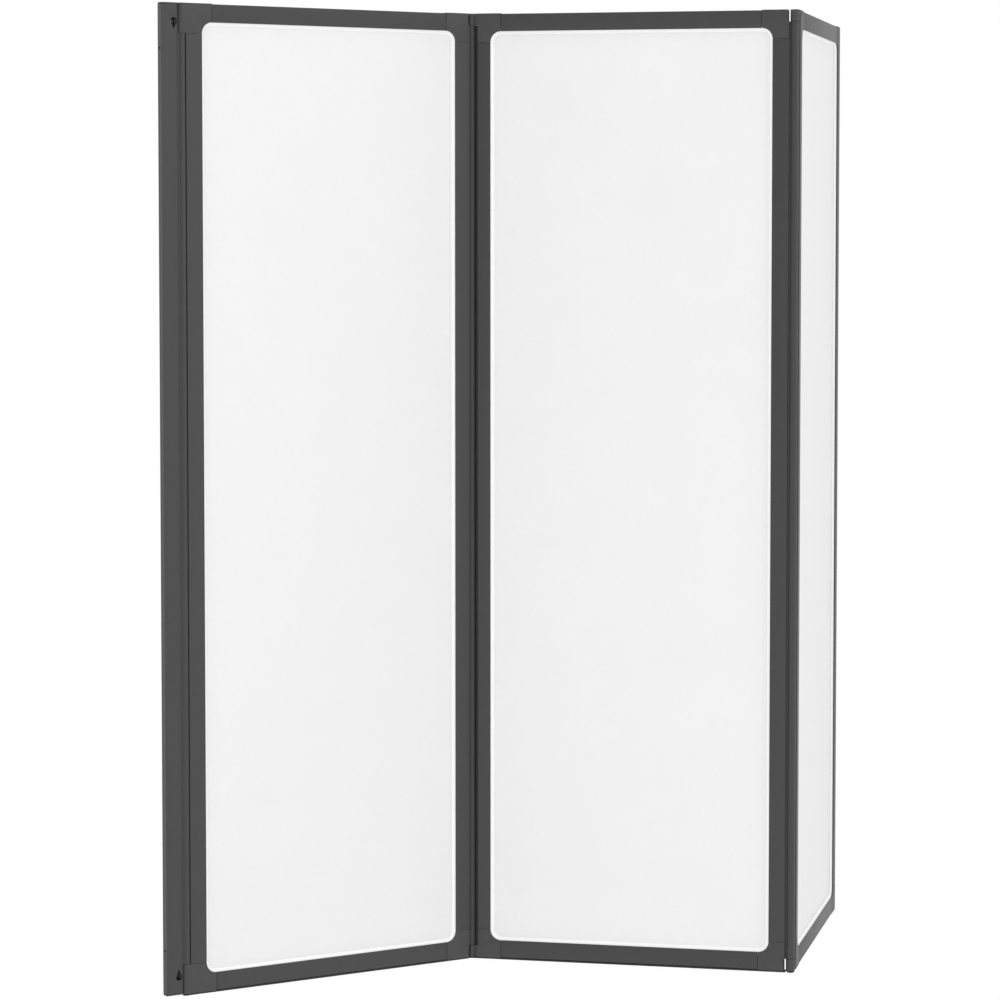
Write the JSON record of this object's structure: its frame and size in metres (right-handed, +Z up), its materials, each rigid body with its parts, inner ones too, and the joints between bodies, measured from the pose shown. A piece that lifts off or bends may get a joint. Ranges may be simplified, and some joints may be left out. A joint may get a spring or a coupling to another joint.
{
  "type": "bath screen",
  "caption": "Folding bath screen: opal sheets in dark aluminium frames with moulded corners, hinged on pins in round beads to each other and to a wall profile.",
  "frame": {"origin": "bottom centre of the wall profile's wall face", "axes": "+X away from the wall along the first panel, +Y to the back of the screen, +Z up along the wall profile"},
  "size_m": [1.0277, 0.3034, 1.21],
  "materials": {
    "frame_paint": "anthracite powder coat, satin",
    "moulding": "anthracite, finely grained",
    "opal_sheet": "smooth opal white",
    "white_gasket": "white, satin",
    "dark_seal": "black, matte",
    "steel": "dark zinc"
  },
  "bodies": {
    "wall_profile": {"hinge_post": "frame_paint", "wall_channel": "frame_paint", "end_block_top": "moulding", "end_block_bottom": "moulding", "clamp_screws": "steel"},
    "panel_1": {"left_stile_1": "frame_paint", "right_stile_1": "frame_paint", "top_rail_1": "frame_paint", "bottom_rail_1": "frame_paint", "corner_top_left_1": "moulding", "corner_top_right_1": "moulding", "corner_bottom_left_1": "moulding", "corner_bottom_right_1": "moulding", "sheet_1": "opal_sheet", "front_gasket_1": "white_gasket", "back_gasket_1": "white_gasket", "bottom_seal_1": "dark_seal", "hinge_pin_top_1": "steel", "hinge_pin_bottom_1": "steel"},
    "panel_2": {"left_stile_2": "frame_paint", "right_stile_2": "frame_paint", "top_rail_2": "frame_paint", "bottom_rail_2": "frame_paint", "corner_top_left_2": "moulding", "corner_top_right_2": "moulding", "corner_bottom_left_2": "moulding", "corner_bottom_right_2": "moulding", "sheet_2": "opal_sheet", "front_gasket_2": "white_gasket", "back_gasket_2": "white_gasket", "bottom_seal_2": "dark_seal", "fin_seal_2": "dark_seal", "hinge_pin_top_2": "steel", "hinge_pin_bottom_2": "steel"},
    "panel_3": {"left_stile_3": "frame_paint", "right_stile_3": "frame_paint", "top_rail_3": "frame_paint", "bottom_rail_3": "frame_paint", "corner_top_left_3": "moulding", "corner_top_right_3": "moulding", "corner_bottom_left_3": "moulding", "corner_bottom_right_3": "moulding", "sheet_3": "opal_sheet", "front_gasket_3": "white_gasket", "back_gasket_3": "white_gasket", "bottom_seal_3": "dark_seal", "fin_seal_3": "dark_seal", "hinge_pin_top_3": "steel", "hinge_pin_bottom_3": "steel"}
  },
  "joints": [
    {"name": "wall_hinge", "type": "hinge", "parent": "wall_profile", "child": "panel_1", "pos_m": [0.0288, 0, 0.60375], "axis": [0, 0, 1], "range_deg": [-90, 90]},
    {"name": "first_fold", "type": "hinge", "parent": "panel_1", "child": "panel_2", "pos_m": [0.4418, 0, 0.60375], "axis": [0, 0, 1], "range_deg": [-45, 135]},
    {"name": "second_fold", "type": "hinge", "parent": "panel_2", "child": "panel_3", "pos_m": [0.73384, -0.29203, 0.60375], "axis": [0, 0, 1], "range_deg": [-180, 0]}
  ]
}
